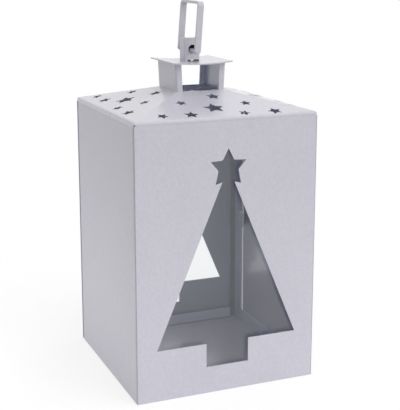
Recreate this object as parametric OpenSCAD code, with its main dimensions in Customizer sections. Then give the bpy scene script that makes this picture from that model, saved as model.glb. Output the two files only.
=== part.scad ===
// Punched tin lantern: sheet metal walls, a glazed tree window front and back, a side door,
// a star-punched roof with a smoke collar, and a swinging carrying loop.
// Millimetres, +Z up, -Y is the front. The origin is the middle of the underside.

/* [Body] */
// Width of the body, left to right
body_w = 150; // [140:1:200]
// Depth of the body, front to back
body_d = 150; // [140:1:200]
// Height of the eave, where the walls meet the roof
eave_z = 217.5; // [212:0.5:300]
// Thickness of the sheet metal
sheet = 1; // [0.8:0.1:1.2]
// Outside radius of the folds at the upright corners
corner_r = 3; // [2.5:0.5:4]
// Width of the hemmed flanges that the side walls turn in behind the panels
flange_w = 7; // [6.5:0.5:9]

/* [Tree window] */
// Width of the tree across its lowest boughs
tree_w = 117.7; // [80:0.1:124]
// Height of the lower edge of the boughs
bough_z = 40.5; // [32:0.5:60]
// Width of the gap where the boughs run up into the star
neck_w = 10.4; // [7:0.2:12]
// How far that gap lies above the star's lower tips
neck_rise = 1.4; // [0.5:0.1:3]
// Width of the trunk
trunk_w = 35.8; // [20:0.2:50]
// Height of the lower edge of the trunk
trunk_z = 21.3; // [16:0.1:28]
// Width of the star on top of the tree
topper_w = 29.4; // [24:0.2:36]
// Height of the star on top of the tree
topper_h = 27.5; // [22:0.5:30]
// Height of the star's lower tips
topper_z = 166.5; // [150:0.5:168]

/* [Glass] */
// Thickness of the panes
glass_t = 2; // [1.6:0.1:3]
// Space kept above a pane for its clips
glass_headroom = 9; // [8.5:0.5:14]
// Space left beside a pane, next to the folds
glass_side_gap = 0.5; // [0.3:0.1:1.5]
// Height of the channel's inner lip, which holds a pane's lower edge
channel_lip = 10; // [6:0.5:14]
// Height of the channel's outer lip, between pane and panel
channel_rear_lip = 8; // [5:0.5:14]
// Width of a clip that holds a pane's upper edge
clip_w = 12; // [8:0.5:20]
// Reach of a clip down the pane
clip_reach = 5; // [3:0.5:8]
// Height of a clip's welded foot
clip_foot = 7; // [5:0.5:7.5]
// Clips sit this far from the middle
clip_x = 42; // [30:1:50]

/* [Roof] */
// Thickness of the roof's sheet, which is thinner so that the stars punch cleanly
roof_sheet = 0.6; // [0.5:0.1:1]
// Rise of the roof from the eave to the collar
roof_rise = 13.3; // [10:0.1:30]
// Outside radius of the soft bend at the eave
eave_r = 2.5; // [1.5:0.1:3.4]
// Height of the roof's turned-down rim
roof_rim = 3; // [2.9:0.1:5]
// Width of the flat seat that the collar stands on
collar_seat = 1.5; // [1.3:0.1:3]
// Diameter of the bend relief at each corner of the rim
relief_d = 2.4; // [1:0.1:3]

/* [Punched stars] */
// Width of the large star, tip to tip
star_large = 16.8; // [12:0.1:18]
// Width of the medium stars, tip to tip
star_medium = 11.4; // [8:0.1:12]
// Width of the small stars, tip to tip
star_small = 9.2; // [6:0.1:10]

/* [Collar] */
// Outside width of the collar at its foot
collar_w = 40.8; // [34:0.2:44]
// Height of the collar under the middle of the cap
collar_h = 21; // [16:0.5:30]
// Outward lean of the collar's sides
collar_lean = 2.8; // [0:0.1:4]
// Width of the collar's turned-in flanges
collar_flange = 5; // [3.5:0.1:8]
// Outside radius of the collar's folds
collar_r = 1.6; // [1.3:0.1:2.5]

/* [Cap] */
// Width of the square cap plate
cap_w = 50.8; // [48:0.2:60]
// How far the middle of the cap sags below its side edges
cap_sag = 1.4; // [0.5:0.1:2]

/* [Handle bracket] */
// Width of the bracket, left to right
bracket_w = 13.1; // [12:0.1:18]
// Depth of the bracket, front to back
bracket_d = 12.1; // [11:0.1:18]
// Height of the bracket
bracket_h = 18.6; // [16:0.2:24]
// Offset of the bracket from the middle of the cap, towards the right
bracket_x = -1.2; // [-3:0.1:3]
// Diameter of the loose front hole for the handle's pin; the rear one fits its pin
bracket_hole_d = 6.9; // [5:0.1:8]
// Height of that hole's middle above the cap
bracket_hole_z = 9.8; // [8:0.1:12]
// Outside radius of the bracket's folds
bracket_r = 1.5; // [1.3:0.1:2.5]
// Length of the welded foot that the bracket's web turns in on the cap
bracket_foot_l = 5; // [3:0.5:8]
// Width of the notch in the lower edge of each cheek
foot_notch_w = 9.6; // [6:0.2:9.8]
// Height of that notch
foot_notch_h = 1.4; // [0.6:0.1:2]

/* [Handle] */
// Outside span of the handle's two legs
handle_span = 38.3; // [28:0.1:44]
// Length of the handle from its pins to the top
handle_l = 39.3; // [34:0.1:60]
// Width of the handle's strap
strap_w = 4.8; // [4.4:0.1:7]
// Thickness of the handle's strap
strap_t = 2.2; // [1.2:0.1:2.4]
// Outside radius of the handle's upper corners
handle_r = 4; // [2.5:0.1:6]
// Diameter of the pins at the ends of the legs
handle_pin_d = 3.6; // [3:0.1:4.4]
// How far a pin reaches past the bracket's cheek
handle_pin_reach = 0.6; // [0.5:0.1:3.5]
// How far the legs end below the pins' axis
handle_foot = 1.1; // [0.8:0.1:2]
// Radius of the corners at the lower end of each leg
handle_end_r = 1.4; // [0.6:0.1:2.1]
// Angle at which the pins rest in their loose holes, left of the lowest point
handle_rest = 31; // [0:1:60]
// Lean of the standing handle, towards the right
handle_lean = 4.4; // [0:0.1:8]

/* [Door] */
// Width of the wall left standing beside the door opening
door_frame = 17; // [16:0.5:24]
// Height of the wall left under the door opening, and over it
door_sill = 11.6; // [8:0.1:20]
// Gap above the door and at its hinges
door_gap = 1; // [0.8:0.1:1.5]
// Gap under the door
door_foot_gap = 0.4; // [0.3:0.1:1.5]
// Gap at the door's free edge
door_free_gap = 2.4; // [1:0.1:2.5]
// Radius of the door's corners
door_corner_r = 1.5; // [0.5:0.1:3]

/* [Hinges] */
// Height of a hinge
hinge_h = 24; // [18:0.5:36]
// Distance from the end of the door to the middle of its hinge
hinge_inset = 30; // [22:0.5:45]
// Width of a hinge leaf from the pin's axis
leaf_w = 9.5; // [8:0.1:12]
// Thickness of a hinge leaf
leaf_t = 0.8; // [0.6:0.1:1]
// Outside radius of the hinge knuckles
knuckle_r = 1.7; // [1.5:0.05:2.2]
// Radius of a hinge pin
hinge_pin_r = 1; // [0.8:0.05:1.1]
// Radial clearance of a hinge pin in its knuckles
pin_clearance = 0.05; // [0.02:0.01:0.1]
// Radius of a rivet's shank
rivet_r = 1; // [0.8:0.05:1.2]
// Radius of a rivet's head
rivet_head_r = 1.9; // [1.6:0.05:2.2]
// Height of a rivet's head
rivet_head_h = 0.9; // [0.6:0.05:1.2]

/* [Knob and catch] */
// Diameter of the door knob
knob_d = 12; // [9:0.5:16]
// How far the knob stands out from the door
knob_l = 13; // [10:0.5:18]
// Distance of the knob from the door's free edge
knob_inset = 19; // [18:0.5:30]
// Height of the knob and the magnetic catch
catch_z = 100; // [80:1:120]
// Height of the catch bracket
catch_h = 12; // [9.5:0.5:20]
// Diameter of the catch magnet
magnet_d = 8; // [6:0.5:9]
// Thickness of the catch magnet
magnet_t = 2.5; // [2:0.1:4]

/* [Hidden] */

$fn = 64;
// A cut runs this far past the face it leaves by
overrun = 2;
// Running clearance between pieces that move past each other
run_gap = 0.3;

paint = [0.80, 0.80, 0.83];
inner_paint = [0.62, 0.62, 0.66];
glass_tint = [0.75, 0.84, 0.86, 0.45];
steel = [0.70, 0.71, 0.73];
dark_steel = [0.35, 0.36, 0.38];

half_w = body_w / 2;
half_d = body_d / 2;
wall_z = eave_z - roof_rim;
ring_half = collar_w / 2;
ring_z = eave_z + roof_rise;

// Outline of the star on the tree, right half from its top: shares of its half width and height
topper_shares = [[0, 1], [0.33, 0.67], [1, 0.65], [0.57, 0.39], [0.72, 0]];

// The eight stars of one facet: along the eave as shares of half its length, up the slope as
// shares of its length, then their sizes and turns. Every facet has the same eight.
star_across_shares = [0.065, -0.343, 0.336, -0.053, -0.656, -0.355, 0.21, 0.553];
star_up_shares = [0.763, 0.587, 0.457, 0.35, 0.17, 0.16, 0.115, 0.115];
star_sizes = [star_medium, star_small, star_small, star_large,
              star_small, star_medium, star_small, star_medium];
star_turns = [-10, 14, -8, -2, 32, -13, -28, 12];
// The side facets have them a little further to their left and further up
side_star_shift_shares = [-0.05, 0.042];
// Depth of the notches between a star's tips, as a share of the tip's radius
star_notch_share = 0.5;

glass_w = body_w - 2 * (corner_r + glass_side_gap);
glass_base = 2 * sheet;
glass_h = wall_z - glass_headroom - glass_base;
// A pane lies against the hemmed flanges, two sheets behind its panel
pane_gap = 2 * sheet;
glass_face = half_d - sheet - pane_gap;
channel_end_gap = flange_w / 10;

// The cap is bent to a shallow arc about an axis that runs front to back, high above it
cap_r = pow(cap_w / 2, 2) / (2 * cap_sag) + cap_sag / 2;
cap_under_z = ring_z + collar_h;
cap_top_z = cap_under_z + sheet;
cap_fn = 720;
// Height of the cap's top face above its lowest line, at a distance x from the middle
function cap_lift(x) = cap_r - sqrt(pow(cap_r, 2) - pow(x, 2));

bracket_foot_z = cap_top_z + cap_lift(abs(bracket_x) + bracket_w / 2);
hole_axis_z = cap_top_z + bracket_hole_z;
pin_play = bracket_hole_d / 2 - handle_pin_d / 2 - run_gap;
pivot_x = bracket_x - pin_play * sin(handle_rest);
pivot_z = hole_axis_z - pin_play * cos(handle_rest);

door_open_w = body_d - 2 * door_frame;
door_open_z = door_sill;
door_open_h = wall_z - 2 * door_sill;
door_w = door_open_w - door_gap - door_free_gap;
door_mid = (door_gap - door_free_gap) / 2;
door_z = door_open_z + door_foot_gap;
door_h = door_open_h - door_gap - door_foot_gap;

hinge_x = half_w + run_gap + knuckle_r;
hinge_y = -(door_open_w - door_gap) / 2;
lower_hinge_z = door_z + hinge_inset - hinge_h / 2;
upper_hinge_z = door_z + door_h - hinge_inset - hinge_h / 2;
knuckle_h = hinge_h / 3;
rivet_offset_y = (leaf_w + knuckle_r) / 2;
rivet_spread = hinge_h * 0.6;

knob_y = door_mid + door_w / 2 - knob_inset;
knob_shank_r = knob_d / 8;

// Flat channel section: web on x = 0, both flanges turned towards +x, folds of radius bend
module channel_2d(length, flange, bend) {
    mid = length / 2 - bend;
    far = flange + overrun;
    difference() {
        union() {
            translate([0, -mid])
                square([flange, 2 * mid]);
            translate([bend, -length / 2])
                square([flange - bend, length]);
            for (s = [-1, 1])
                translate([bend, s * mid])
                    circle(r = bend);
        }
        translate([sheet, -mid])
            square([far, 2 * mid]);
        translate([bend, sheet - length / 2])
            square([far, length - 2 * sheet]);
        for (s = [-1, 1])
            translate([bend, s * mid])
                circle(r = bend - sheet);
    }
}

// Both halves of an outline whose right half is given from bottom to top
function both_halves(right) =
    concat(right, [for (i = [len(right) - 1 : -1 : 0]) [-right[i][0], right[i][1]]]);

// Tree window: trunk, one tier of boughs and a star
module tree_2d() {
    star = [for (i = [len(topper_shares) - 1 : -1 : 0])
        [topper_shares[i][0] * topper_w / 2, topper_z + topper_shares[i][1] * topper_h]];
    right = concat(
        [[trunk_w / 2, trunk_z], [trunk_w / 2, bough_z], [tree_w / 2, bough_z],
         [neck_w / 2, topper_z + neck_rise]],
        star);
    polygon(both_halves(right));
}

// Flat front or back sheet; its outer face is on y = 0 and it lies towards +y
module tree_panel() {
    translate([0, sheet, 0])
        rotate([90, 0, 0])
            linear_extrude(height = sheet)
                difference() {
                    translate([-half_w, 0])
                        square([body_w, wall_z]);
                    tree_2d();
                }
}

module front_panel() {
    color(paint)
        translate([0, -half_d, 0])
            tree_panel();
}

module back_panel() {
    color(paint)
        translate([0, half_d, 0])
            rotate([0, 0, 180])
                tree_panel();
}

// Side wall with its hemmed flanges behind the panels; its web stands on x = -half_w
module side_wall() {
    flat = flange_w - sheet;
    behind = half_d - sheet;
    translate([-half_w, 0, 0])
        linear_extrude(height = wall_z)
            union() {
                channel_2d(2 * behind, flat, corner_r);
                for (s = [-1, 1]) {
                    translate([corner_r, s > 0 ? behind - 2 * sheet : -behind + sheet / 2])
                        square([flat - corner_r, 1.5 * sheet]);
                    translate([flat, s * (behind - sheet)])
                        circle(r = sheet);
                }
            }
}

module left_wall() {
    color(paint)
        side_wall();
}

module right_wall() {
    color(paint)
        difference() {
            rotate([0, 0, 180])
                side_wall();
            translate([half_w - sheet - overrun, -door_open_w / 2, door_open_z])
                cube([sheet + 2 * overrun, door_open_w, door_open_h]);
            rivet_holes(-1);
        }
}

// The floor fills the space between the walls and meets both panels between the flanges
module floor_plate() {
    lap = half_w - flange_w - channel_end_gap;
    inner_w = half_w - sheet;
    inner_d = glass_face;
    color(inner_paint)
        linear_extrude(height = sheet)
            union() {
                translate([-inner_w, corner_r - inner_d])
                    square([2 * inner_w, 2 * (inner_d - corner_r)]);
                translate([corner_r - inner_w, -inner_d])
                    square([2 * (inner_w - corner_r), 2 * inner_d]);
                for (sx = [-1, 1])
                    for (sy = [-1, 1])
                        translate([sx * (inner_w - corner_r), sy * (inner_d - corner_r)])
                            circle(r = corner_r);
                translate([-lap, sheet - half_d])
                    square([2 * lap, body_d - 2 * sheet]);
            }
}

// One pane behind the front panel, resting on its channel and against the hemmed flanges
module pane() {
    translate([-glass_w / 2, -glass_face, glass_base])
        cube([glass_w, glass_t, glass_h]);
}

module front_glass() {
    color(glass_tint)
        pane();
}

module back_glass() {
    color(glass_tint)
        rotate([0, 0, 180])
            pane();
}

// Upturned channel on the floor that holds a pane's lower edge
module glass_channel() {
    length = body_w - 2 * (flange_w + channel_end_gap);
    depth = 2 * sheet + glass_t;
    front = glass_face + sheet;
    translate([-length / 2, -front, sheet])
        rotate([90, 0, 90])
            linear_extrude(height = length)
                polygon([
                    [0, 0], [depth, 0], [depth, channel_lip], [depth - sheet, channel_lip],
                    [depth - sheet, sheet], [sheet, sheet], [sheet, channel_rear_lip],
                    [0, channel_rear_lip]
                ]);
}

module front_glass_channel() {
    color(paint)
        glass_channel();
}

module back_glass_channel() {
    color(paint)
        rotate([0, 0, 180])
            glass_channel();
}

// Two clips welded to the panel above a pane and bent down over its inner face
module glass_clips() {
    depth = pane_gap + glass_t + sheet;
    front = half_d - sheet;
    top = glass_base + glass_h;
    for (s = [-1, 1])
        translate([s * clip_x - clip_w / 2, -front, top])
            rotate([90, 0, 90])
                linear_extrude(height = clip_w)
                    polygon([
                        [0, 0], [depth - sheet, 0], [depth - sheet, -clip_reach],
                        [depth, -clip_reach], [depth, sheet], [sheet, sheet],
                        [sheet, clip_foot], [0, clip_foot]
                    ]);
}

module front_glass_clips() {
    color(paint)
        glass_clips();
}

module back_glass_clips() {
    color(paint)
        rotate([0, 0, 180])
            glass_clips();
}

// Five-pointed star, tip to tip width across, one tip towards +y
module star_2d(width) {
    tip_r = width / (2 * cos(18));
    polygon([for (i = [0 : 9])
        (i % 2 == 0 ? tip_r : tip_r * star_notch_share) * [sin(36 * i), cos(36 * i)]]);
}

// Section of one roof side, from the rim round the soft eave and up the slope to the collar
module roof_section_2d(reach, slope) {
    tangent = eave_r * tan((90 - slope) / 2);
    centre = [eave_r - reach, eave_z - tangent];
    foot = [-reach, eave_z] + tangent * [cos(slope), sin(slope)];
    under = foot + roof_sheet * [sin(slope), -cos(slope)];
    end = overrun - ring_half;
    low_z = wall_z - 2 * eave_r;
    difference() {
        union() {
            polygon([
                [-reach, wall_z], [-reach, centre[1]], centre, foot, [-ring_half, ring_z],
                [-ring_half, wall_z]
            ]);
            translate(centre)
                circle(r = eave_r);
        }
        polygon([
            [-reach - overrun, low_z], [-reach - overrun, wall_z],
            [roof_sheet - reach, wall_z], [roof_sheet - reach, centre[1]], centre, under,
            [end, ring_z - roof_sheet / cos(slope) + overrun * tan(slope)], [end, low_z]
        ]);
        translate(centre)
            circle(r = eave_r - roof_sheet);
    }
}

// One side of the roof with its stars: reach is from the middle to its eave, across is half
// the eave's length, shift moves its stars by shares of across and slope, and it faces -y
module roof_side(reach, across, shift) {
    run = reach - ring_half;
    slope = atan2(roof_rise, run);
    length = norm([run, roof_rise]);
    hip = [across - ring_half, reach - ring_half];
    past = 1 + overrun / run;
    difference() {
        intersection() {
            translate([-across - overrun, 0, 0])
                rotate([90, 0, 90])
                    linear_extrude(height = 2 * (across + overrun))
                        roof_section_2d(reach, slope);
            linear_extrude(height = ring_z + overrun)
                polygon([
                    [ring_half, -ring_half], [-ring_half, -ring_half],
                    [-ring_half - past * hip[0], -ring_half - past * hip[1]],
                    [ring_half + past * hip[0], -ring_half - past * hip[1]]
                ]);
        }
        for (i = [0 : len(star_sizes) - 1])
            translate([0, -reach, eave_z])
                rotate([slope, 0, 0])
                    translate([(star_across_shares[i] + shift[0]) * across,
                               (star_up_shares[i] + shift[1]) * length,
                               -roof_sheet - overrun])
                        linear_extrude(height = roof_sheet + 2 * overrun)
                            rotate([0, 0, star_turns[i]])
                                star_2d(star_sizes[i]);
    }
}

module roof() {
    open_half = ring_half - collar_seat;
    color(paint)
        difference() {
            union() {
                for (turn = [0, 180])
                    rotate([0, 0, turn])
                        roof_side(half_d, half_w, [0, 0]);
                for (turn = [90, 270])
                    rotate([0, 0, turn])
                        roof_side(half_w, half_d, side_star_shift_shares);
                translate([0, 0, ring_z - roof_sheet])
                    linear_extrude(height = roof_sheet)
                        difference() {
                            square(2 * ring_half, center = true);
                            square(2 * open_half, center = true);
                        }
            }
            for (sx = [-1, 1])
                for (sy = [-1, 1])
                    translate([sx * half_w, sy * half_d, wall_z - overrun])
                        cylinder(d = relief_d, h = roof_rim - eave_r / 2 + overrun);
        }
}

// The space on and above the cap's underside, used to fit what stands below it
module above_cap() {
    translate([0, cap_w, cap_top_z + cap_r])
        rotate([90, 0, 0])
            cylinder(r = cap_r + sheet, h = 2 * cap_w, $fn = cap_fn);
}

// One side of the collar: a channel that leans outwards and meets the bent cap
module collar_side() {
    rise = collar_h + 2 * cap_sag + 2 * overrun;
    difference() {
        translate([-ring_half, 0, ring_z])
            rotate([0, -collar_lean, 0])
                translate([0, 0, -overrun])
                    linear_extrude(height = rise)
                        channel_2d(collar_w, collar_flange, collar_r);
        translate([-collar_w, -collar_w, ring_z - 2 * overrun])
            cube([2 * collar_w, 2 * collar_w, 2 * overrun]);
        above_cap();
    }
}

module collar_left() {
    color(paint)
        collar_side();
}

module collar_right() {
    color(paint)
        rotate([0, 0, 180])
            collar_side();
}

// Thin square plate with a slight sag
module cap_plate() {
    color(paint)
        intersection() {
            translate([0, cap_w / 2, cap_top_z + cap_r])
                rotate([90, 0, 0])
                    difference() {
                        cylinder(r = cap_r + sheet, h = cap_w, $fn = cap_fn);
                        translate([0, 0, -overrun])
                            cylinder(r = cap_r, h = cap_w + 2 * overrun, $fn = cap_fn);
                    }
            translate([-cap_w / 2, -cap_w / 2, cap_under_z - overrun])
                cube([cap_w, cap_w, sheet + cap_sag + 2 * overrun]);
        }
}

// Rectangle with round corners, in the middle
module rounded_2d(width, depth, r) {
    square([width, depth - 2 * r], center = true);
    square([width - 2 * r, depth], center = true);
    for (sx = [-1, 1])
        for (sy = [-1, 1])
            translate([sx * (width / 2 - r), sy * (depth / 2 - r)])
                circle(r = r);
}

// Folded box that is open below, with a foot turned in on the left and a notched cheek
// front and back
module handle_bracket() {
    left = -bracket_w / 2;
    flat_d = bracket_d - 2 * bracket_r;
    notch_from = (bracket_r - foot_notch_w) / 2;
    color(paint)
        translate([bracket_x, 0, bracket_foot_z])
            difference() {
                union() {
                    difference() {
                        linear_extrude(height = bracket_h)
                            rounded_2d(bracket_w, bracket_d, bracket_r);
                        translate([0, 0, -overrun])
                            linear_extrude(height = bracket_h - sheet + overrun)
                                rounded_2d(bracket_w - 2 * sheet, bracket_d - 2 * sheet,
                                           bracket_r - sheet);
                    }
                    translate([left + sheet / 2, -flat_d / 2, 0])
                        cube([bracket_foot_l, flat_d, sheet]);
                }
                for (s = [-1, 1])
                    translate([notch_from, s > 0 ? flat_d / 2 : -bracket_d / 2 - overrun,
                               -overrun])
                        cube([foot_notch_w, bracket_r + overrun, foot_notch_h + overrun]);
                translate([0, 0, hole_axis_z - bracket_foot_z])
                    rotate([90, 0, 0])
                        cylinder(d = bracket_hole_d, h = bracket_d / 2 + overrun);
                translate([pivot_x - bracket_x, bracket_d / 2 + overrun,
                           pivot_z - bracket_foot_z])
                    rotate([90, 0, 0])
                        cylinder(d = handle_pin_d + 2 * run_gap, h = bracket_d / 2 + overrun);
            }
}

// Strap bent to a loop, with a pin turned in at the end of each leg
module handle_loop() {
    inner_half = handle_span / 2 - strap_t;
    end_z = handle_end_r - handle_foot;
    pin_from = bracket_d / 2 - sheet - handle_pin_reach;
    color(paint)
        translate([pivot_x, 0, pivot_z])
            rotate([0, handle_lean, 0]) {
                intersection() {
                    translate([-strap_w / 2, 0, 0])
                        rotate([90, 0, 90])
                            linear_extrude(height = strap_w)
                                difference() {
                                    arch_2d(handle_span / 2, handle_l, handle_r);
                                    arch_2d(inner_half, handle_l - strap_t,
                                            handle_r - strap_t, overrun);
                                }
                    translate([0, handle_span / 2, 0])
                        rotate([90, 0, 0])
                            linear_extrude(height = handle_span) {
                                translate([-strap_w / 2, end_z])
                                    square([strap_w, handle_l + handle_foot]);
                                translate([handle_end_r - strap_w / 2, -handle_foot])
                                    square([strap_w - 2 * handle_end_r, 2 * handle_end_r]);
                                for (s = [-1, 1])
                                    translate([s * (strap_w / 2 - handle_end_r), end_z])
                                        circle(r = handle_end_r);
                            }
                }
                for (s = [-1, 1])
                    translate([0, s * (s > 0 ? inner_half + strap_t / 2 : pin_from), 0])
                        rotate([90, 0, 0])
                            cylinder(d = handle_pin_d, h = inner_half + strap_t / 2 - pin_from);
            }
}

// Upright rectangle with round upper corners, from the foot of the legs
module arch_2d(half, height, r, extra = 0) {
    base = -handle_foot - extra;
    translate([-half, base])
        square([2 * half, height - r - base]);
    translate([r - half, base])
        square([2 * (half - r), height - base]);
    for (s = [-1, 1])
        translate([s * (half - r), height - r])
            circle(r = r);
}

module door_panel() {
    color(paint)
        difference() {
            translate([half_w - sheet, door_mid, door_z])
                rotate([90, 0, 90])
                    linear_extrude(height = sheet)
                        union() {
                            translate([door_corner_r - door_w / 2, 0])
                                square([door_w - 2 * door_corner_r, door_h]);
                            translate([-door_w / 2, door_corner_r])
                                square([door_w, door_h - 2 * door_corner_r]);
                            for (s = [-1, 1])
                                for (z = [door_corner_r, door_h - door_corner_r])
                                    translate([s * (door_w / 2 - door_corner_r), z])
                                        circle(r = door_corner_r);
                        }
            rivet_holes(1);
            translate([half_w - sheet - overrun, knob_y, catch_z])
                rotate([0, 90, 0])
                    cylinder(r = knob_shank_r + pin_clearance, h = sheet + 2 * overrun);
        }
}

// Turned knob whose shank is riveted over inside the door
module door_knob() {
    neck_r = knob_d / 5;
    foot_r = knob_d / 3;
    foot_h = knob_l / 12;
    ball_r = knob_d / 2;
    ball_h = knob_l * 0.55;
    edge = ball_h / 4;
    color(paint)
        translate([half_w, knob_y, catch_z])
            rotate([0, 90, 0])
                rotate_extrude()
                    polygon([
                        [0, -sheet - rivet_head_h], [2 * knob_shank_r, -sheet - rivet_head_h],
                        [2 * knob_shank_r, -sheet], [knob_shank_r, -sheet], [knob_shank_r, 0],
                        [foot_r, 0], [foot_r, foot_h], [neck_r, 2 * foot_h],
                        [neck_r, knob_l - ball_h], [ball_r - edge, knob_l - ball_h],
                        [ball_r, knob_l - ball_h + edge], [ball_r, knob_l - edge],
                        [ball_r - edge, knob_l], [0, knob_l]
                    ]);
}

// Places what follows at every rivet of both hinges, frame side -1 or door side 1
module at_rivets(side) {
    for (base = [lower_hinge_z, upper_hinge_z])
        for (s = [-1, 1])
            translate([half_w, hinge_y + side * rivet_offset_y,
                       base + hinge_h / 2 + s * rivet_spread / 2])
                rotate([0, 90, 0])
                    children();
}

module rivet_holes(side) {
    at_rivets(side)
        translate([0, 0, -sheet - overrun])
            cylinder(r = rivet_r + pin_clearance, h = sheet + leaf_t + 2 * overrun);
}

module rivets(side) {
    at_rivets(side) {
        translate([0, 0, -sheet - rivet_head_h / 2])
            cylinder(r = rivet_r, h = sheet + leaf_t + rivet_head_h);
        translate([0, 0, -sheet - rivet_head_h])
            cylinder(r = rivet_head_r, h = rivet_head_h);
        translate([0, 0, leaf_t])
            cylinder(r1 = rivet_head_r, r2 = rivet_head_r * 0.6, h = rivet_head_h);
    }
}

module door_rivets() {
    color(steel)
        rivets(1);
}

module frame_rivets() {
    color(steel)
        rivets(-1);
}

// Half of a butt hinge: the frame's half has the outer knuckles, the door's the middle one
module hinge_half(base, side) {
    gap = run_gap / 2;
    spans = side < 0
        ? [[0, knuckle_h - gap], [2 * knuckle_h + gap, hinge_h]]
        : [[knuckle_h + gap, 2 * knuckle_h - gap]];
    pockets = side < 0
        ? [[knuckle_h - gap, 2 * knuckle_h + gap]]
        : [[-overrun, knuckle_h + gap], [2 * knuckle_h - gap, hinge_h + overrun]];
    pocket_w = knuckle_r + run_gap;
    difference() {
        translate([hinge_x, hinge_y, base])
            difference() {
                union() {
                    translate([-knuckle_r - run_gap, side < 0 ? -leaf_w : 0, 0])
                        cube([leaf_t, leaf_w, hinge_h]);
                    for (span = spans)
                        translate([0, 0, span[0]])
                            cylinder(r = knuckle_r, h = span[1] - span[0]);
                }
                for (pocket = pockets)
                    translate([-knuckle_r - 2 * run_gap, side < 0 ? -pocket_w : -overrun,
                               pocket[0]])
                        cube([2 * pocket_w + run_gap, pocket_w + overrun,
                              pocket[1] - pocket[0]]);
                translate([0, 0, -overrun])
                    cylinder(r = hinge_pin_r + pin_clearance, h = hinge_h + 2 * overrun);
            }
        rivet_holes(side);
    }
}

module upper_hinge_frame_leaf() {
    color(steel)
        hinge_half(upper_hinge_z, -1);
}

module lower_hinge_frame_leaf() {
    color(steel)
        hinge_half(lower_hinge_z, -1);
}

module upper_hinge_door_leaf() {
    color(steel)
        hinge_half(upper_hinge_z, 1);
}

module lower_hinge_door_leaf() {
    color(steel)
        hinge_half(lower_hinge_z, 1);
}

// Hinge pin with a small head at each end of the outer knuckles
module hinge_pin(base) {
    head_r = (hinge_pin_r + knuckle_r) / 2;
    head_h = hinge_pin_r * 0.6;
    translate([hinge_x, hinge_y, base]) {
        translate([0, 0, -head_h / 2])
            cylinder(r = hinge_pin_r, h = hinge_h + head_h);
        translate([0, 0, -head_h])
            cylinder(r = head_r, h = head_h);
        translate([0, 0, hinge_h])
            cylinder(r = head_r, h = head_h);
    }
}

module upper_hinge_pin() {
    color(steel)
        hinge_pin(upper_hinge_z);
}

module lower_hinge_pin() {
    color(steel)
        hinge_pin(lower_hinge_z);
}

// Bracket inside the frame at the door's free edge; its tongue carries the magnet
module catch_bracket() {
    edge = door_open_w / 2;
    inner = half_w - sheet;
    tongue = inner - run_gap - magnet_t - sheet;
    foot_y = edge + sheet;
    foot_l = magnet_d;
    reach = magnet_d + 2 * sheet;
    color(paint)
        translate([0, 0, catch_z - catch_h / 2])
            linear_extrude(height = catch_h)
                polygon([
                    [inner, foot_y + foot_l], [inner - sheet, foot_y + foot_l],
                    [inner - sheet, foot_y + sheet], [tongue, foot_y + sheet],
                    [tongue, foot_y - reach - sheet], [tongue + sheet, foot_y - reach - sheet],
                    [tongue + sheet, foot_y], [inner, foot_y]
                ]);
}

module catch_magnet() {
    color(dark_steel)
        translate([half_w - sheet - run_gap - magnet_t,
                   door_open_w / 2 - sheet - magnet_d / 2, catch_z])
            rotate([0, 90, 0])
                cylinder(d = magnet_d, h = magnet_t);
}

front_panel();
back_panel();
left_wall();
right_wall();
floor_plate();
front_glass();
back_glass();
front_glass_channel();
back_glass_channel();
front_glass_clips();
back_glass_clips();
roof();
collar_left();
collar_right();
cap_plate();
handle_bracket();
handle_loop();
door_panel();
door_knob();
door_rivets();
upper_hinge_door_leaf();
lower_hinge_door_leaf();
upper_hinge_frame_leaf();
lower_hinge_frame_leaf();
upper_hinge_pin();
lower_hinge_pin();
frame_rivets();
catch_bracket();
catch_magnet();
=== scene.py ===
import math

import bpy
from bpy.props import FloatProperty, FloatVectorProperty, PointerProperty
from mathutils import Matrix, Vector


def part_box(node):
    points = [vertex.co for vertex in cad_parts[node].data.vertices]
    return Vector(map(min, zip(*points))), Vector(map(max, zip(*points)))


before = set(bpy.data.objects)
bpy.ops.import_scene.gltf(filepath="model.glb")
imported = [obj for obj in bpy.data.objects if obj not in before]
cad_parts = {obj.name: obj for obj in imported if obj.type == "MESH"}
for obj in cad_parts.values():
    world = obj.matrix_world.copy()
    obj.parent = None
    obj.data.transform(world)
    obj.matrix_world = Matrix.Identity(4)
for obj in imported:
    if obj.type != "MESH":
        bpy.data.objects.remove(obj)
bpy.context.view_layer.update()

bl_info = {
    "name": "Punched tin lantern",
    "version": (1, 0, 0),
    "blender": (4, 5, 0),
    "location": "3D View > Sidebar > Lantern",
    "description": "Finishes a painted sheet metal lantern and sets it on a plain stage",
    "category": "Object",
}

# Size of the photograph in pixels
PHOTO_W = 400
PHOTO_H = 410
# Width of the sensor that the focal length belongs to, in millimetres
SENSOR_W = 36.0

RIGHT = (1.0, 0.0, 0.0)
BACK = (0.0, 1.0, 0.0)
UP = (0.0, 0.0, 1.0)
WHITE = (1.0, 1.0, 1.0, 1.0)

# Pairs of values at which masks reach 0 and 1, first those of noise
SOFT_BAND = (0.3, 0.7)
SPECK_BAND = (0.82, 0.88)
SMEAR_BAND = (0.45, 0.75)
DULL_BAND = (0.4, 0.7)
PIT_BAND = (0.6, 0.75)
# The same for how squarely a face looks in a direction
FACING_BAND = (0.6, 0.8)
STEEP_BAND = (0.7, 0.5)
# The same for distances in metres from the edge or middle that the mask belongs to
INWARD_BAND = (0.0, -0.01)
CORNER_BAND = (-0.0007, -0.0003)
CHANNEL_BAND = (0.0014, 0.0004)
STAR_BAND = (0.0034, 0.0039)
SILL_BAND = (0.002, 0.001)
INSIDE_BAND = (-0.0004, -0.0008)
FOOT_BAND = (-0.0008, -0.0004)

# Powder coat: spots of its skin in grains, and waves of the sheet in clouds
SKIN_TO_GRAIN = 3.0
WAVE_TO_CLOUD = 1.6
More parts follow.
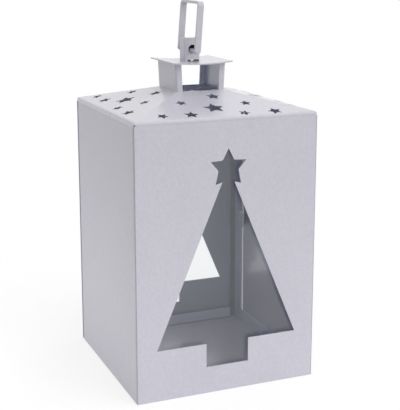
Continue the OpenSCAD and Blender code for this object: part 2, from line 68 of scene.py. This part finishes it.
# Powder coat: strength of its bumps, and depth of the grain as a share of the skin's
WAVE_BUMP = 1.0
SKIN_BUMP = 0.5
GRAIN_BUMP = 0.6
GRAIN_TO_SKIN = 0.5
# Powder coat: how much clouds and grain change the roughness, and specks the colour
CLOUD_ROUGHNESS = 0.10
GRAIN_ROUGHNESS = 0.08
SPECK_DARK = 0.024
# Powder coat: share of the full gloss on the flat upright sheets
SHEET_GLOSS = 0.3

# Painted shade: strength on the roof's rim, how much more on its stars, and inside the
# bracket
RIM_SHADE = 0.15
STAR_SHADE = 1.25
INSIDE_SHADE = 2.0
# Painted shade: most that it may darken the coat
DARKEST_PAINTED_SHADE = 0.9

# Glass: power with which it mirrors more at a slant
SLANT_POWER = 5.0

# Zinc steel: how far dull patches and scratches cover it, and their shade of its colour
PATCH_COVER = 0.6
PATCH_SHADE = 0.82
SCRATCH_COVER = 0.3
SCRATCH_SHADE = 0.9
# Zinc steel: how much patches and lines change the roughness, and strength of the lines
PATCH_ROUGHNESS = 0.12
LINE_ROUGHNESS = 0.12
LINE_BUMP = 0.4

# Magnet: size of grains and pits in line widths, and how far the pits cover it
GRAIN_LINES = 2.0
PIT_LINES = 5.0
PIT_COVER = 0.6
DARK_GRAIN = (0.10, 0.10, 0.11)
LIGHT_GRAIN = (0.16, 0.16, 0.17)
PIT_COLOUR = (0.05, 0.05, 0.055)
# Magnet: share of metal, roughness and how much the grains change it
MAGNET_METAL = 0.4
MAGNET_ROUGHNESS = 0.5
MAGNET_SPREAD = 0.2
# Magnet: strength of its grains, and their depth in that of the steel's lines
MAGNET_BUMP = 0.5
MAGNET_TO_LINE = 2.0

# Floor: where it starts to turn plain white and where its painted shade is darkest, in table
# radii
GLOW_START = 0.3
DARK_END = 2.0
# Floor: size of its fibres in metres, their shade, the darkest painted shade and the
# roughness
FIBRE_SIZE = 0.02
FIBRE_SHADE = 0.985
DARK_SHADE = 0.3
FLOOR_ROUGHNESS = 0.5

# Place, target and width of each lamp in metres
KEY_LAMP = ((0.9, -1.1, 1.1), (0.0, 0.0, 0.12), 1.2)
FILL_LAMP = ((-0.24, 0.03, 0.03), (-0.075, 0.0, 0.0), 0.1)
# Least strength of the room light on its dark side
ROOM_LEAST = 0.02
# Distance of the floor below the lantern, so that their faces don't flicker, in metres
FLOOR_DROP = 0.0002


class Value:
    """A value or colour in a node tree, on which sums are written as Python expressions."""

    def __init__(self, nodes, socket):
        self.nodes = nodes
        self.socket = socket

    def maths(self, operation, first, second):
        settings = {"operation": operation}
        return self.nodes.add("ShaderNodeMath", settings, {0: first, 1: second})

    def __add__(self, other):
        return self.maths("ADD", self, other)

    def __radd__(self, other):
        return self.maths("ADD", other, self)

    def __sub__(self, other):
        return self.maths("SUBTRACT", self, other)

    def __rsub__(self, other):
        return self.maths("SUBTRACT", other, self)

    def __mul__(self, other):
        return self.maths("MULTIPLY", self, other)

    def __rmul__(self, other):
        return self.maths("MULTIPLY", other, self)

    def __pow__(self, other):
        return self.maths("POWER", self, other)

    def __abs__(self):
        return self.maths("ABSOLUTE", self, 0.0)

    def centred(self):
        """Noise from 0 to 1 moved to lie evenly about 0."""
        return self - 0.5

    def at_most(self, other):
        return self.maths("MINIMUM", self, other)

    def at_least(self, other):
        return self.maths("MAXIMUM", self, other)


class Nodes:
    """The node tree of a material or of the world, emptied and built up again."""

    def __init__(self, owner):
        owner.use_nodes = True
        self.tree = owner.node_tree
        self.tree.nodes.clear()

    def add(self, kind, settings=None, sockets=None, output=0):
        """Adds a node, sets its settings first and then its sockets' values or links."""
        node = self.tree.nodes.new(kind)
        for name, value in (settings or {}).items():
            setattr(node, name, value)
        for name, value in (sockets or {}).items():
            if isinstance(value, Value):
                self.tree.links.new(value.socket, node.inputs[name])
            else:
                node.inputs[name].default_value = value
        if not node.outputs:
            return None
        return Value(self, node.outputs[output])

    def place(self):
        """The surface point in the piece's own frame, in metres."""
        return self.add("ShaderNodeTexCoord", output="Object")

    def facing(self):
        """The direction that the surface looks in, in the piece's own frame."""
        return self.add("ShaderNodeTexCoord", output="Normal")

    def inward(self):
        """1 on faces that look towards the middle of the lantern's foot, 0 on the others."""
        outward = self.along(self.place(), self.facing())
        return self.spots(outward, *INWARD_BAND)

    def height(self):
        """Height of the surface point in the piece's own frame, in metres."""
        return self.along(self.place(), UP)

    def along(self, vector, direction):
        """How far a vector reaches along a direction."""
        settings = {"operation": "DOT_PRODUCT"}
        sockets = {0: vector, 1: direction}
        return self.add("ShaderNodeVectorMath", settings, sockets, output="Value")

    def length(self, vector):
        """How long a vector is."""
        settings = {"operation": "LENGTH"}
        return self.add("ShaderNodeVectorMath", settings, {0: vector}, output="Value")

    def noise(self, size, detail=2.0, stretch=(1.0, 1.0, 1.0)):
        """Noise from 0 to 1 whose spots are about size metres across."""
        sockets = {"Vector": self.place(), "Scale": stretch}
        place = self.add("ShaderNodeMapping", {}, sockets)
        sockets = {"Vector": place, "Scale": 1.0 / size, "Detail": detail}
        return self.add("ShaderNodeTexNoise", {}, sockets)

    def mix(self, factor, first, second):
        """A colour between two colours, by the node's sockets and output for colours."""
        settings = {"data_type": "RGBA", "clamp_factor": True}
        sockets = {0: factor, 6: first, 7: second}
        return self.add("ShaderNodeMix", settings, sockets, output=2)

    def scaled(self, colour, share):
        """A colour made darker or lighter by a value."""
        settings = {"operation": "SCALE"}
        return self.add("ShaderNodeVectorMath", settings, {0: colour, "Scale": share})

    def spots(self, value, low, high):
        """A mask that goes from 0 to 1 as a value goes from low to high.

        With low above high it goes the other way.
        """
        sockets = {"Value": value, "From Min": low, "From Max": high}
        return self.add("ShaderNodeMapRange", {"clamp": True}, sockets)

    def beside(self, value, edge, band):
        """The same for a band that is given by its two distances from an edge."""
        return self.spots(value, edge + band[0], edge + band[1])

    def bump(self, relief, strength, distance, normal=None):
        """A surface direction bent by a relief, on top of another one if that is given."""
        sockets = {"Height": relief, "Strength": strength, "Distance": distance}
        if normal is not None:
            sockets["Normal"] = normal
        return self.add("ShaderNodeBump", {}, sockets)


def solid(colour):
    """A colour with its opacity of 1."""
    return (*colour, 1.0)


def shaded(colour, share):
    """A colour made darker, or lighter above 1."""
    return solid([channel * share for channel in colour])


def new_material(name):
    """A new material and its emptied node tree."""
    material = bpy.data.materials.new(name)
    return material, Nodes(material)


def powder_coat(name, finish, tone=1.0, wear=1.0, gloss=1.0, painted_shade=None, inside=1.0):
    """Satin powder coat on sheet metal: soft mottling, a fine grain and slightly wavy sheet.

    tone scales the colour, wear the specks, gloss the clear skin, and inside the share of
    the cooler, lighter tint painted on the inner faces for the light inside the lantern. The
    painted shade mask, if given, marks where shade is painted on edges, seams and hollows.
    """
    material, nodes = new_material(name)
    cloud = nodes.noise(finish.cloud_size, detail=3.0)
    grain = nodes.noise(finish.grain_size, detail=1.0)
    peel = nodes.noise(finish.grain_size * SKIN_TO_GRAIN, detail=2.0)
    wave = nodes.noise(finish.cloud_size * WAVE_TO_CLOUD, detail=1.0)
    specks = nodes.spots(nodes.noise(finish.speck_size, detail=0.0), *SPECK_BAND)
    shade = 1.0 + nodes.spots(cloud, *SOFT_BAND).centred() * (2.0 * finish.mottle)
    shade *= 1.0 + nodes.spots(peel, *SOFT_BAND).centred() * (2.0 * finish.fine_mottle)
    shade *= tone - specks * (SPECK_DARK * wear)
    # Painted shade: darkens edges, seams and hollows where shade falls
    if painted_shade is not None:
        shade *= 1.0 - (painted_shade(nodes) * finish.painted_shade_depth).at_most(DARKEST_PAINTED_SHADE)
    # Painted light: inward faces get a cooler, lighter tint that stands in for the light
    # inside the lantern
    inner = nodes.inward() * inside
    base = nodes.mix(inner, solid(finish.colour), solid(finish.inward_light_tint))
    rough = finish.roughness + cloud.centred() * CLOUD_ROUGHNESS
    rough += grain.centred() * GRAIN_ROUGHNESS
    sheet = nodes.bump(wave, WAVE_BUMP, finish.sheet_wave)
    skin = nodes.bump(peel, SKIN_BUMP, finish.grain_depth, sheet)
    skin = nodes.bump(grain, GRAIN_BUMP, finish.grain_depth * GRAIN_TO_SKIN, skin)
    sockets = {
        "Base Color": nodes.scaled(base, shade),
        "Roughness": rough,
        "Normal": skin,
        "IOR": finish.ior,
        "Coat Weight": finish.coat * gloss,
        "Coat Roughness": finish.coat_roughness,
    }
    surface = nodes.add("ShaderNodeBsdfPrincipled", {}, sockets)
    nodes.add("ShaderNodeOutputMaterial", {}, {"Surface": surface})
    return material


def clear_glass(name, finish):
    """Flat clear pane: every face lets light through and mirrors a little of it."""
    material, nodes = new_material(name)
    facing = nodes.add("ShaderNodeLayerWeight", {}, {"Blend": 0.5}, output="Facing")
    smear = nodes.spots(nodes.noise(finish.smear_size, detail=4.0), *SMEAR_BAND)
    mirror = finish.mirror + (1.0 - finish.mirror) * facing ** SLANT_POWER
    through = nodes.add("ShaderNodeBsdfTransparent", {}, {"Color": solid(finish.tint)})
    sockets = {
        "Base Color": WHITE,
        "Metallic": 1.0,
        "Roughness": finish.roughness + smear * finish.smear,
    }
    gloss = nodes.add("ShaderNodeBsdfPrincipled", {}, sockets)
    surface = nodes.add("ShaderNodeMixShader", {}, {0: mirror, 1: through, 2: gloss})
    nodes.add("ShaderNodeOutputMaterial", {}, {"Surface": surface})
    return material


def zinc_steel(name, finish, stretch):
    """Bright zinc-coated steel with dull patches, and fine lines where stretch is uneven."""
    material, nodes = new_material(name)
    lines = nodes.noise(finish.line_size, detail=3.0, stretch=stretch)
    patches = nodes.noise(finish.patch_size, detail=4.0)
    dull = nodes.spots(patches, *DULL_BAND)
    scratched = nodes.spots(lines, *SOFT_BAND)
    patch, scratch = shaded(finish.colour, PATCH_SHADE), shaded(finish.colour, SCRATCH_SHADE)
    colour = nodes.mix(dull * PATCH_COVER, solid(finish.colour), patch)
    colour = nodes.mix(scratched * SCRATCH_COVER, colour, scratch)
    rough = finish.roughness + dull * PATCH_ROUGHNESS + lines.centred() * LINE_ROUGHNESS
    sockets = {
        "Base Color": colour,
        "Metallic": 1.0,
        "Roughness": rough,
        "Normal": nodes.bump(lines, LINE_BUMP, finish.line_depth),
    }
    surface = nodes.add("ShaderNodeBsdfPrincipled", {}, sockets)
    nodes.add("ShaderNodeOutputMaterial", {}, {"Surface": surface})
    return material


def sintered_magnet(name, finish):
    """Dull grey sintered magnet with a granular face."""
    material, nodes = new_material(name)
    grains = nodes.noise(finish.line_size * GRAIN_LINES, detail=3.0)
    pits = nodes.spots(nodes.noise(finish.line_size * PIT_LINES, detail=2.0), *PIT_BAND)
    colour = nodes.mix(grains, solid(DARK_GRAIN), solid(LIGHT_GRAIN))
    colour = nodes.mix(pits * PIT_COVER, colour, solid(PIT_COLOUR))
    sockets = {
        "Base Color": colour,
        "Metallic": MAGNET_METAL,
        "Roughness": MAGNET_ROUGHNESS + grains.centred() * MAGNET_SPREAD,
        "Normal": nodes.bump(grains, MAGNET_BUMP, finish.line_depth * MAGNET_TO_LINE),
    }
    surface = nodes.add("ShaderNodeBsdfPrincipled", {}, sockets)
    nodes.add("ShaderNodeOutputMaterial", {}, {"Surface": surface})
    return material


def corner_edges(nodes):
    """1 on the cut edges of the panels at the lantern's corners: painted shade in the corner
    grooves.
    """
    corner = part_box("front_panel")[1][0]
    across = abs(nodes.along(nodes.place(), RIGHT))
    return nodes.beside(across, corner, CORNER_BAND)


def channel_foot(nodes):
    """1 in the seam between a glass channel and the floor: painted shade in that gap."""
    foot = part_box("back_glass_channel")[0][2]
    return nodes.beside(nodes.height(), foot, CHANNEL_BAND)


def roof_edges(nodes):
    """Painted shade: most on the cut edges of the stars, and less on the upright rim of the
    roof.
    """
    rim_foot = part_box("roof")[0][2]
    steep = nodes.spots(abs(nodes.along(nodes.facing(), UP)), *STEEP_BAND)
    stars = nodes.beside(nodes.height(), rim_foot, STAR_BAND)
    return steep * (RIM_SHADE + stars * STAR_SHADE)


def inner_flanges(nodes):
    """1 on the faces of the walls' flanges that look inward, beside the glass: painted shade
    of flanges in shadow.
    """
    across = abs(nodes.along(nodes.facing(), BACK))
    return nodes.spots(across, *FACING_BAND) * nodes.inward()


def wall_shade(nodes):
    """Painted shade: 1 on the flanges beside the glass and on the cut edge under the door.
    """
    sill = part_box("door_panel")[0][2]
    low = nodes.beside(nodes.height(), sill, SILL_BAND)
    up = nodes.spots(nodes.along(nodes.facing(), UP), *FACING_BAND)
    return (low * up).at_least(inner_flanges(nodes))


def bracket_inside(nodes):
    """Painted shade: high on what lies inside the closed handle bracket, where little light
    reaches.
    """
    low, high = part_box("handle_bracket")
    outside = nodes.height() - high[2]
    for axis, direction in enumerate((RIGHT, BACK)):
        middle = (low[axis] + high[axis]) / 2.0
        reach = abs(nodes.along(nodes.place(), direction) - middle)
        outside = outside.at_least(reach - (high[axis] - low[axis]) / 2.0)
    above = nodes.beside(nodes.height(), low[2], FOOT_BAND)
    return nodes.spots(outside, *INSIDE_BAND) * above * INSIDE_SHADE


def dress(names, material):
    """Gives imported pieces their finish."""
    for name in names:
        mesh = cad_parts[name].data
        mesh.materials.clear()
        mesh.materials.append(material)


class CoatFinish(bpy.types.PropertyGroup):
    """Settings of the powder coat"""

    colour: FloatVectorProperty(
        name="Colour",
        description="Colour of the powder coat",
        subtype="COLOR",
        default=(0.54, 0.53, 0.593),
        min=0.0,
        max=1.0,
    )
    # Painted light: a cooler, lighter tint for the inward faces, standing in for the light
    # inside the lantern
    inward_light_tint: FloatVectorProperty(
        name="Inner colour",
        description="Cooler colour of the coat on the faces that look inward",
        subtype="COLOR",
        default=(0.60, 0.63, 0.75),
        min=0.0,
        max=1.0,
    )
    mottle: FloatProperty(
        name="Mottling",
        description="How much lighter and darker the clouds in the coat are",
        subtype="FACTOR",
        default=0.018,
        min=0.0,
        max=0.2,
    )
    fine_mottle: FloatProperty(
        name="Fine mottling",
        description="How much lighter and darker the small spots in the coat are",
        subtype="FACTOR",
        default=0.038,
        min=0.0,
        max=0.2,
    )
    cloud_size: FloatProperty(
        name="Cloud size",
        description="Width of the soft clouds in the coat",
        unit="LENGTH",
        default=0.045,
    )
    speck_size: FloatProperty(
        name="Speck spacing",
        description="Size of the cells in which a tiny dark speck may sit",
        unit="LENGTH",
        default=0.004,
    )
    grain_size: FloatProperty(
        name="Grain size",
        description="Width of the coat's finest grain",
        unit="LENGTH",
        default=0.0007,
    )
    grain_depth: FloatProperty(
        name="Grain depth",
        description="Height of the coat's grain",
        unit="LENGTH",
        default=0.000015,
    )
    sheet_wave: FloatProperty(
        name="Sheet waviness",
        description="Height of the long soft waves in the sheet metal",
        unit="LENGTH",
        default=0.0006,
    )
    # Painted shade: how much the shade painted on edges, seams and hollows darkens the coat
    painted_shade_depth: FloatProperty(
        name="Seam darkness",
        description="How much darker cut edges and seams are",
        subtype="FACTOR",
        default=0.45,
        min=0.0,
        max=1.0,
    )
    roughness: FloatProperty(
        name="Roughness",
        description="Roughness of the coat",
        subtype="FACTOR",
        default=0.42,
        min=0.0,
        max=1.0,
    )
    ior: FloatProperty(
        name="Refraction",
        description="Index of refraction of the coat",
        default=1.42,
        min=1.0,
        max=2.0,
    )
    coat: FloatProperty(
        name="Gloss",
        description="Weight of the clear skin on the coat",
        subtype="FACTOR",
        default=1.0,
        min=0.0,
        max=1.0,
    )
    coat_roughness: FloatProperty(
        name="Gloss roughness",
        description="Roughness of the clear skin",
        subtype="FACTOR",
        default=0.22,
        min=0.0,
        max=1.0,
    )


class GlassFinish(bpy.types.PropertyGroup):
    """Settings of the glass panes"""

    tint: FloatVectorProperty(
        name="Tint",
        description="Colour of the light that one face lets through",
        subtype="COLOR",
        default=(0.988, 0.990, 0.992),
        min=0.0,
        max=1.0,
    )
    mirror: FloatProperty(
        name="Mirroring",
        description="Share of the light that a face mirrors head on",
        subtype="FACTOR",
        default=0.04,
        min=0.0,
        max=1.0,
    )
    roughness: FloatProperty(
        name="Roughness",
        description="Roughness of the clean glass",
        subtype="FACTOR",
        default=0.01,
        min=0.0,
        max=1.0,
    )
    smear: FloatProperty(
        name="Smears",
        description="How much rougher the wiped marks are",
        subtype="FACTOR",
        default=0.05,
        min=0.0,
        max=1.0,
    )
    smear_size: FloatProperty(
        name="Smear size",
        description="Width of the wiped marks",
        unit="LENGTH",
        default=0.03,
    )


class SteelFinish(bpy.types.PropertyGroup):
    """Settings of the zinc-coated steel"""

    colour: FloatVectorProperty(
        name="Colour",
        description="Colour of the zinc coating",
        subtype="COLOR",
        default=(0.62, 0.63, 0.65),
        min=0.0,
        max=1.0,
    )
    roughness: FloatProperty(
        name="Roughness",
        description="Roughness of the zinc coating",
        subtype="FACTOR",
        default=0.28,
        min=0.0,
        max=1.0,
    )
    line_size: FloatProperty(
        name="Line width",
        description="Width of the drawing lines",
        unit="LENGTH",
        default=0.0004,
    )
    line_depth: FloatProperty(
        name="Line depth",
        description="Depth of the drawing lines",
        unit="LENGTH",
        default=0.00002,
    )
    patch_size: FloatProperty(
        name="Patch size",
        description="Width of the dull patches",
        unit="LENGTH",
        default=0.004,
    )


class StageSettings(bpy.types.PropertyGroup):
    """Settings of the floor, the light and the camera"""

    camera_place: FloatVectorProperty(
        name="Camera place",
        description="Where the camera stands",
        subtype="XYZ",
        unit="LENGTH",
        default=(-0.298, -0.735, 0.331),
    )
    camera_pitch: FloatProperty(
        name="Camera pitch",
        description="How far the camera looks down",
        subtype="ANGLE",
        default=math.radians(11.99),
    )
    camera_yaw: FloatProperty(
        name="Camera yaw",
        description="How far the camera is turned towards the right",
        subtype="ANGLE",
        default=math.radians(22.59),
    )
    focal_pixels: FloatProperty(
        name="Focal length",
        description="Focal length in pixels of the photograph",
        default=981.7,
    )
    centre_row: FloatProperty(
        name="Centre row",
        description="Row of the photograph that the lens points at",
        default=170.0,
    )
    room_light: FloatProperty(
        name="Room light",
        description="Strength of the even light from all round",
        default=0.42,
        min=0.0,
    )
    room_lean: FloatVectorProperty(
        name="Lean of the room light",
        description="Side from which the room is brighter",
        subtype="XYZ",
        default=(0.52, -0.58, 0.88),
    )
    key_light: FloatProperty(
        name="Key light",
        description="Strength of the large soft light at the front right",
        unit="POWER",
        default=2.5,
        min=0.0,
    )
    fill_light: FloatProperty(
        name="Fill light",
        description="Strength of the low soft light beside the left wall",
        unit="POWER",
        default=0.055,
        min=0.0,
    )
    floor_colour: FloatVectorProperty(
        name="Floor colour",
        description="Colour of the pale floor",
        subtype="COLOR",
        default=(0.96, 0.96, 0.965),
        min=0.0,
        max=1.0,
    )
    table_radius: FloatProperty(
        name="Table radius",
        description="How far the bright part of the floor reaches",
        unit="LENGTH",
        default=0.40,
        min=0.1,
    )
    floor_glow: FloatProperty(
        name="Floor whiteness",
        description="How much of the floor's look is plain white",
        subtype="FACTOR",
        default=0.72,
        min=0.0,
        max=1.0,
    )


class LanternSettings(bpy.types.PropertyGroup):
    """All settings of the lantern"""

    coat: PointerProperty(type=CoatFinish)
    glass: PointerProperty(type=GlassFinish)
    steel: PointerProperty(type=SteelFinish)
    stage: PointerProperty(type=StageSettings)


class LANTERN_OT_panels(bpy.types.Operator):
    """Finishes the two flat sheets with the tree window"""

    bl_idname = "lantern.panels"
    bl_label = "Window panels"

    def execute(self, context):
        coat = context.scene.lantern.coat
        # Painted shade in the corner grooves, on the panels' cut edges
        paint = powder_coat("panel coat", coat, gloss=SHEET_GLOSS, painted_shade=corner_edges)
        dress(["front_panel", "back_panel"], paint)
        return {"FINISHED"}


class LANTERN_OT_walls(bpy.types.Operator):
    """Finishes the two folded side walls"""

    bl_idname = "lantern.walls"
    bl_label = "Side walls"

    def execute(self, context):
        coat = context.scene.lantern.coat
        # Painted shade on the inward flanges, and on the right wall also under the door
        paint = powder_coat("left wall coat", coat, gloss=SHEET_GLOSS, painted_shade=inner_flanges)
        dress(["left_wall"], paint)
        paint = powder_coat("right wall coat", coat, gloss=SHEET_GLOSS, painted_shade=wall_shade)
        dress(["right_wall"], paint)
        return {"FINISHED"}


class LANTERN_OT_floor_plate(bpy.types.Operator):
    """Finishes the sheet that the candle stands on"""

    bl_idname = "lantern.floor_plate"
    bl_label = "Floor plate"

    def execute(self, context):
        coat = context.scene.lantern.coat
        dress(["floor_plate"], powder_coat("floor coat", coat, tone=1.06, wear=1.6))
        return {"FINISHED"}


class LANTERN_OT_panes(bpy.types.Operator):
    """Finishes the two glass panes"""

    bl_idname = "lantern.panes"
    bl_label = "Glass panes"

    def execute(self, context):
        glass = clear_glass("window glass", context.scene.lantern.glass)
        dress(["front_glass", "back_glass"], glass)
        return {"FINISHED"}


class LANTERN_OT_pane_holders(bpy.types.Operator):
    """Finishes the channels and clips that hold the panes"""

    bl_idname = "lantern.pane_holders"
    bl_label = "Glass channels and clips"

    def execute(self, context):
        coat = context.scene.lantern.coat
        # Painted shade at the channels' foot, in the gap above the floor
        channels = powder_coat("channel coat", coat, tone=0.98, painted_shade=channel_foot)
        dress(["front_glass_channel", "back_glass_channel"], channels)
        clips = powder_coat("clip coat", coat, tone=0.98)
        dress(["front_glass_clips", "back_glass_clips"], clips)
        return {"FINISHED"}


class LANTERN_OT_roof(bpy.types.Operator):
    """Finishes the star-punched roof"""

    bl_idname = "lantern.roof"
    bl_label = "Roof"

    def execute(self, context):
        coat = context.scene.lantern.coat
        # Painted shade on the stars' cut edges and on the rim
        dress(["roof"], powder_coat("roof coat", coat, painted_shade=roof_edges))
        return {"FINISHED"}


class LANTERN_OT_collar(bpy.types.Operator):
    """Finishes both sides of the smoke collar"""

    bl_idname = "lantern.collar"
    bl_label = "Smoke collar"

    def execute(self, context):
        coat = powder_coat("collar coat", context.scene.lantern.coat, tone=0.99)
        dress(["collar_left", "collar_right"], coat)
        return {"FINISHED"}


class LANTERN_OT_cap(bpy.types.Operator):
    """Finishes the slightly bowed cap"""

    bl_idname = "lantern.cap"
    bl_label = "Cap"

    def execute(self, context):
        coat = context.scene.lantern.coat
        # Painted shade inside the bracket also lies on the cap under it
        dress(["cap_plate"], powder_coat("cap coat", coat, painted_shade=bracket_inside))
        return {"FINISHED"}


class LANTERN_OT_handle(bpy.types.Operator):
    """Finishes the handle bracket and the swinging loop"""

    bl_idname = "lantern.handle"
    bl_label = "Handle"

    def execute(self, context):
        coat = context.scene.lantern.coat
        # Painted shade on what lies inside the closed bracket
        bracket = powder_coat("bracket coat", coat, inside=0.0, painted_shade=bracket_inside)
        dress(["handle_bracket"], bracket)
        loop = powder_coat("loop coat", coat, tone=0.95, wear=1.6, inside=0.0)
        dress(["handle_loop"], loop)
        return {"FINISHED"}


class LANTERN_OT_door(bpy.types.Operator):
    """Finishes the door and its knob"""

    bl_idname = "lantern.door"
    bl_label = "Door"

    def execute(self, context):
        coat = context.scene.lantern.coat
        # Painted light: the door's inward faces get part of the cooler tint
        dress(["door_panel"], powder_coat("door coat", coat, inside=0.3))
        dress(["door_knob"], powder_coat("knob coat", coat, tone=0.97, wear=1.6))
        return {"FINISHED"}


class LANTERN_OT_hinges(bpy.types.Operator):
    """Finishes the hinge leaves, their pins and the rivets"""

    bl_idname = "lantern.hinges"
    bl_label = "Hinges and rivets"

    def execute(self, context):
        steel = context.scene.lantern.steel
        leaves = zinc_steel("hinge steel", steel, stretch=(1.0, 1.0, 0.06))
        turned = zinc_steel("rivet steel", steel, stretch=(1.0, 1.0, 1.0))
        names = [
            "upper_hinge_door_leaf",
            "lower_hinge_door_leaf",
            "upper_hinge_frame_leaf",
            "lower_hinge_frame_leaf",
        ]
        dress(names, leaves)
        dress(["upper_hinge_pin", "lower_hinge_pin", "frame_rivets", "door_rivets"], turned)
        return {"FINISHED"}


class LANTERN_OT_catch(bpy.types.Operator):
    """Finishes the magnetic catch behind the door's free edge"""

    bl_idname = "lantern.catch"
    bl_label = "Magnetic catch"

    def execute(self, context):
        settings = context.scene.lantern
        dress(["catch_bracket"], powder_coat("catch coat", settings.coat, tone=0.98))
        dress(["catch_magnet"], sintered_magnet("magnet", settings.steel))
        return {"FINISHED"}


def pale_floor(stage):
    """Matt floor that looks white and keeps the shadow; painted shade far out throws little
    light back.
    """
    material, nodes = new_material("pale floor")
    edge = stage.table_radius
    distance = nodes.length(nodes.place())
    # Painted shade: beyond the table the floor's colour darkens, where its light ends
    far = nodes.spots(distance, edge, DARK_END * edge)
    near_edge = nodes.spots(distance, GLOW_START * edge, edge)
    fibres = nodes.noise(FIBRE_SIZE, detail=3.0)
    shade = shaded(stage.floor_colour, FIBRE_SHADE)
    colour = nodes.mix(fibres, solid(stage.floor_colour), shade)
    colour = nodes.mix(far, colour, shaded(stage.floor_colour, DARK_SHADE))
    sockets = {"Color": colour, "Roughness": FLOOR_ROUGHNESS}
    matt = nodes.add("ShaderNodeBsdfDiffuse", {}, sockets)
    white = nodes.add("ShaderNodeEmission", {}, {"Color": WHITE, "Strength": 1.0})
    glow = stage.floor_glow + (1.0 - stage.floor_glow) * near_edge
    sockets = {0: seen_rays(nodes) * glow, 1: matt, 2: white}
    surface = nodes.add("ShaderNodeMixShader", {}, sockets)
    nodes.add("ShaderNodeOutputMaterial", {}, {"Surface": surface})
    return material


def seen_rays(nodes):
    """1 on rays that show the surroundings: from the camera, in gloss and through glass."""
    kinds = ["Is Camera Ray", "Is Glossy Ray", "Is Transmission Ray"]
    rays = [nodes.add("ShaderNodeLightPath", output=kind) for kind in kinds]
    return rays[0].at_least(rays[1]).at_least(rays[2])


def white_room(stage):
    """Soft studio light from all round, brighter on one side, before a white background."""
    world = bpy.data.worlds.new("white room")
    nodes = Nodes(world)
    direction = nodes.add("ShaderNodeTexCoord", output="Generated")
    strength = stage.room_light + nodes.along(direction, stage.room_lean)
    strength = strength.at_least(ROOM_LEAST)
    light = nodes.add("ShaderNodeBackground", {}, {"Color": WHITE, "Strength": strength})
    white = nodes.add("ShaderNodeBackground", {}, {"Color": WHITE, "Strength": 1.0})
    sockets = {0: seen_rays(nodes), 1: light, 2: white}
    surface = nodes.add("ShaderNodeMixShader", {}, sockets)
    nodes.add("ShaderNodeOutputWorld", {}, {"Surface": surface})
    bpy.context.scene.world = world


def floor_disc(stage, radius, segments):
    """Large round floor under the lantern."""
    turn = 2.0 * math.pi / segments
    rim = [
        (radius * math.cos(i * turn), radius * math.sin(i * turn), 0.0)
        for i in range(segments)
    ]
    mesh = bpy.data.meshes.new("floor")
    mesh.from_pydata(rim, [], [list(range(segments))])
    mesh.materials.append(pale_floor(stage))
    disc = bpy.data.objects.new("floor", mesh)
    bpy.context.scene.collection.objects.link(disc)
    disc.location.z = -FLOOR_DROP


def soft_box(name, lamp_set, power):
    """Square lamp at a place, turned towards a point."""
    place, aim, width = lamp_set
    lamp = bpy.data.lights.new(name, "AREA")
    lamp.shape = "SQUARE"
    lamp.size = width
    lamp.energy = power
    holder = bpy.data.objects.new(name, lamp)
    bpy.context.scene.collection.objects.link(holder)
    holder.location = place
    direction = [b - a for a, b in zip(place, aim)]
    holder.rotation_euler = (
        math.atan2(math.hypot(direction[0], direction[1]), -direction[2]),
        0.0,
        math.atan2(direction[1], direction[0]) - math.pi / 2.0,
    )


def photo_camera(stage):
    """Camera with the photograph's viewing angle."""
    long_side = max(PHOTO_W, PHOTO_H)
    lens = bpy.data.cameras.new("camera")
    lens.sensor_width = SENSOR_W
    lens.lens = stage.focal_pixels / long_side * SENSOR_W
    lens.shift_y = (stage.centre_row - PHOTO_H / 2.0) / long_side
    camera = bpy.data.objects.new("camera", lens)
    bpy.context.scene.collection.objects.link(camera)
    camera.location = stage.camera_place
    camera.rotation_euler = (
        math.pi / 2.0 - stage.camera_pitch,
        0.0,
        -stage.camera_yaw,
    )
    bpy.context.scene.camera = camera


class LANTERN_OT_stage(bpy.types.Operator):
    """Sets up the pale floor, the soft light and the camera"""

    bl_idname = "lantern.stage"
    bl_label = "Stage"

    def execute(self, context):
        stage = context.scene.lantern.stage
        context.scene.view_settings.view_transform = "Standard"
        white_room(stage)
        floor_disc(stage, radius=6.0, segments=96)
        soft_box("key light", KEY_LAMP, stage.key_light)
        soft_box("fill light", FILL_LAMP, stage.fill_light)
        photo_camera(stage)
        return {"FINISHED"}


class LANTERN_PT_sidebar(bpy.types.Panel):
    """Shows the settings, and a button for each operator"""

    bl_idname = "LANTERN_PT_sidebar"
    bl_label = "Lantern"
    bl_space_type = "VIEW_3D"
    bl_region_type = "UI"
    bl_category = "Lantern"

    def draw(self, context):
        settings = context.scene.lantern
        for group in ("coat", "glass", "steel", "stage"):
            box = self.layout.box()
            finish = getattr(settings, group)
            for name in finish.bl_rna.properties.keys():
                if name not in ("rna_type", "name"):
                    box.prop(finish, name)
        for operator in OPERATORS:
            self.layout.operator(operator.bl_idname)


GROUPS = [CoatFinish, GlassFinish, SteelFinish, StageSettings, LanternSettings]
OPERATORS = [
    LANTERN_OT_panels,
    LANTERN_OT_walls,
    LANTERN_OT_floor_plate,
    LANTERN_OT_panes,
    LANTERN_OT_pane_holders,
    LANTERN_OT_roof,
    LANTERN_OT_collar,
    LANTERN_OT_cap,
    LANTERN_OT_handle,
    LANTERN_OT_door,
    LANTERN_OT_hinges,
    LANTERN_OT_catch,
    LANTERN_OT_stage,
]


def register():
    """Registers the settings, the operators and the panel."""
    for kind in GROUPS + OPERATORS + [LANTERN_PT_sidebar]:
        bpy.utils.register_class(kind)
    bpy.types.Scene.lantern = PointerProperty(type=LanternSettings)


def unregister():
    """Removes them again."""
    del bpy.types.Scene.lantern
    for kind in reversed(GROUPS + OPERATORS + [LANTERN_PT_sidebar]):
        bpy.utils.unregister_class(kind)


def main():
    """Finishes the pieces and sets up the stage."""
    register()
    bpy.ops.lantern.panels()
    bpy.ops.lantern.walls()
    bpy.ops.lantern.floor_plate()
    bpy.ops.lantern.panes()
    bpy.ops.lantern.pane_holders()
    bpy.ops.lantern.roof()
    bpy.ops.lantern.collar()
    bpy.ops.lantern.cap()
    bpy.ops.lantern.handle()
    bpy.ops.lantern.door()
    bpy.ops.lantern.hinges()
    bpy.ops.lantern.catch()
    bpy.ops.lantern.stage()


if __name__ == "__main__":
    main()
